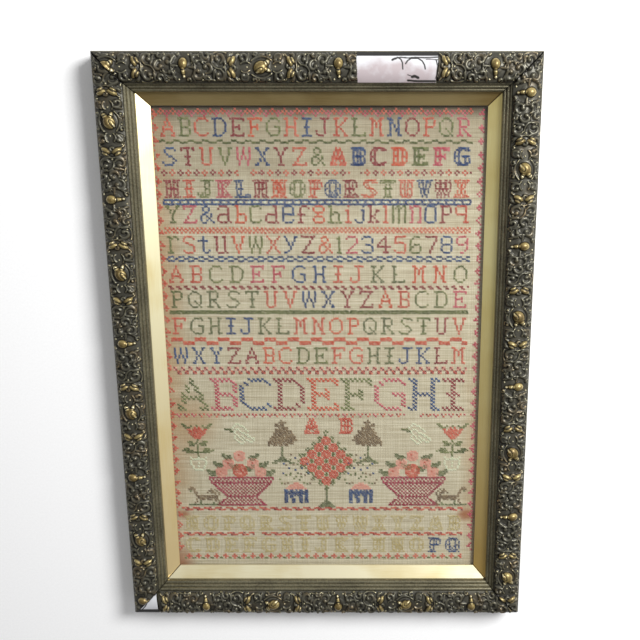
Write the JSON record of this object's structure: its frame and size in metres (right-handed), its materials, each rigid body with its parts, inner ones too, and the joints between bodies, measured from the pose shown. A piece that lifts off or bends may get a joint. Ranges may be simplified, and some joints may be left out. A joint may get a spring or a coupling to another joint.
{
  "type": "framed cross stitch sampler",
  "caption": "Cross stitch alphabet sampler on linen, stretched flat behind glass in a bronzed ornament picture frame with a gilt slip.",
  "frame": {"origin": "middle of the frame's back, on the plane of the rails' back faces that it rests on", "axes": "+X is the picture's width to its right, +Y its height with the top of the picture at +Y, +Z the way the picture faces"},
  "size_m": [0.4, 0.557, 0.0337],
  "materials": {
    "bronzed_wood": "dark bronze patina over gesso, satin",
    "bronzed_composition": "dark bronze patina with gilt-rubbed high spots, satin",
    "gilt": "aged gilding, satin",
    "glass": "clear polished",
    "linen": "even-weave linen with wool cross stitch",
    "bare_wood": "unfinished pine"
  },
  "bodies": {
    "root": {"rail_top": "bronzed_wood", "rail_right": "bronzed_wood", "rail_bottom": "bronzed_wood", "rail_left": "bronzed_wood", "ornament_top_left": "bronzed_composition", "ornament_top_right": "bronzed_composition", "ornament_right": "bronzed_composition", "ornament_bottom": "bronzed_composition", "ornament_left": "bronzed_composition", "slip_top": "gilt", "slip_right": "gilt", "slip_bottom": "gilt", "slip_left": "gilt", "glass_pane": "glass", "sampler_cloth": "linen", "backboard": "bare_wood"}
  },
  "joints": []
}
